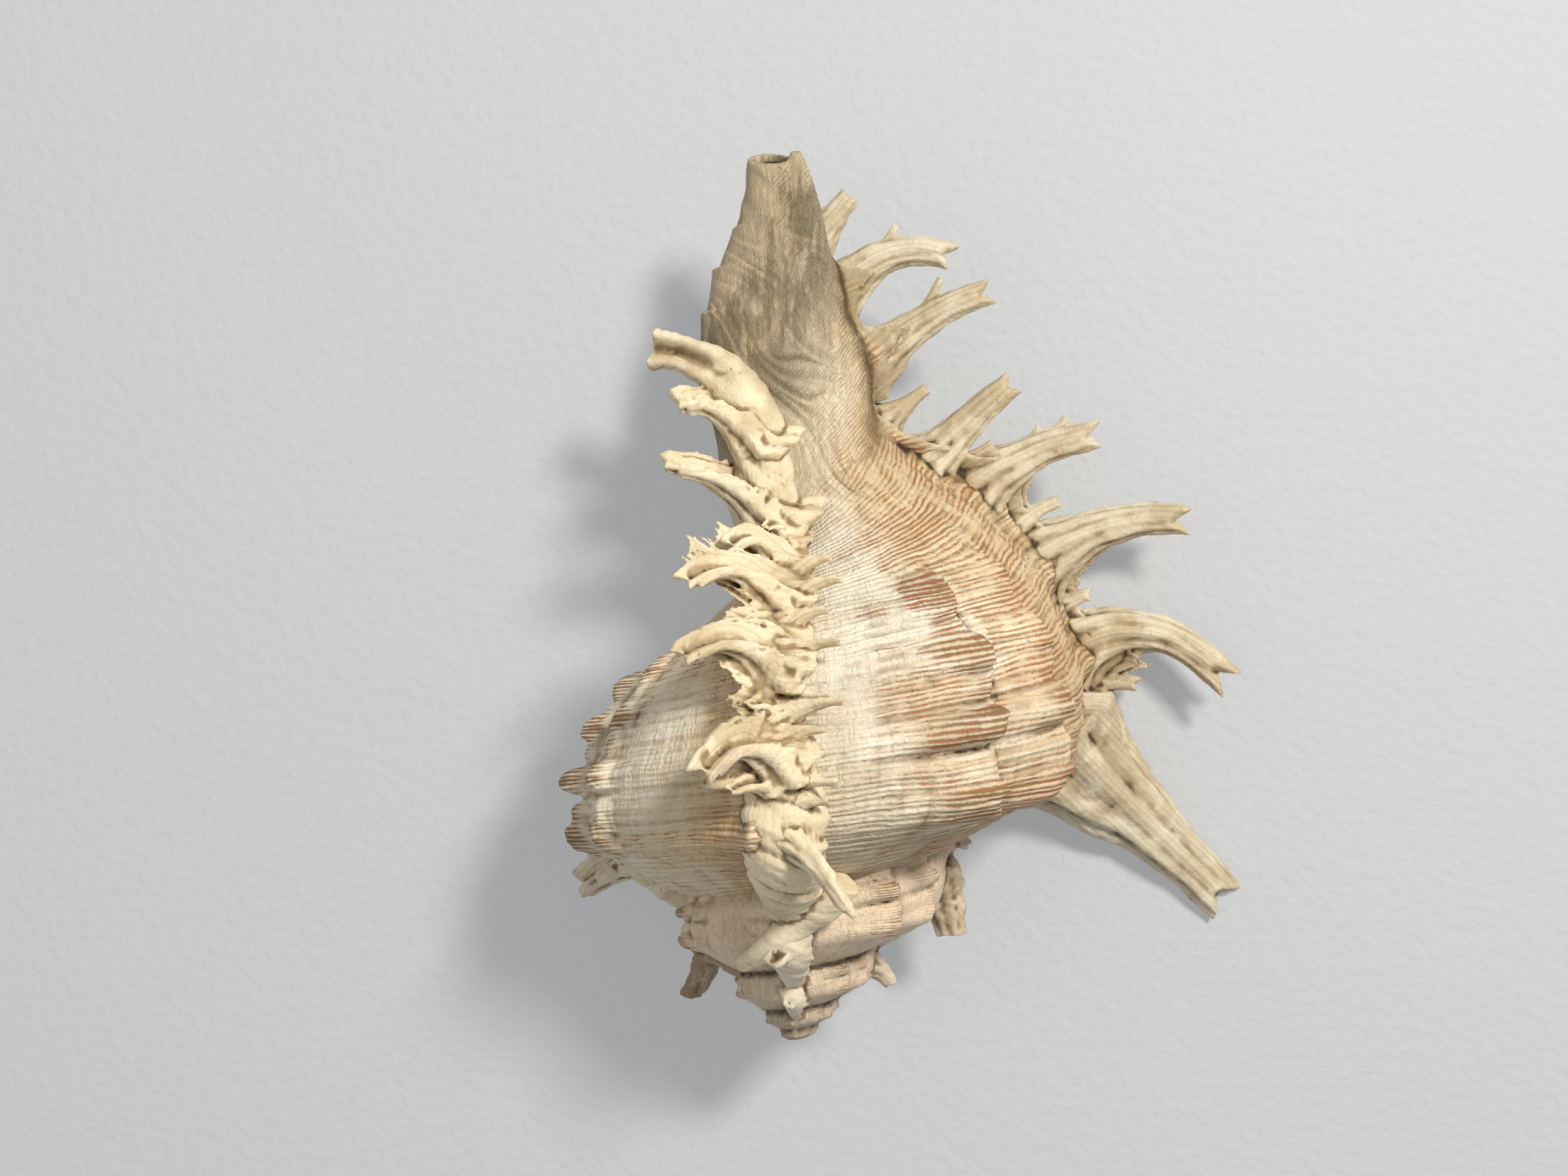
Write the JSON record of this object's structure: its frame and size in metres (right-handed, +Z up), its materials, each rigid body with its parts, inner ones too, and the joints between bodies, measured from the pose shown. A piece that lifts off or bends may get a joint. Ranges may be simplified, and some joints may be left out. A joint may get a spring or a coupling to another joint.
{
  "type": "murex shell",
  "caption": "Large ramose murex sea shell with a stepped spire, spiny varices, a long recurved canal and an oval aperture, lying aperture side down.",
  "frame": {"origin": "middle of the shell's footprint box, on the table plane that its worn tips stand on", "axes": "+Y runs along the coiling axis from the apex to the tip of the canal, +Z is up with the aperture facing down, +X is the side of the outer lip and its longest spines"},
  "size_m": [0.1554, 0.2078, 0.1258],
  "materials": {
    "shell": "satin, chalky cream with fine red-brown spiral lines"
  },
  "bodies": {
    "root": {"shell": "shell"}
  },
  "joints": []
}
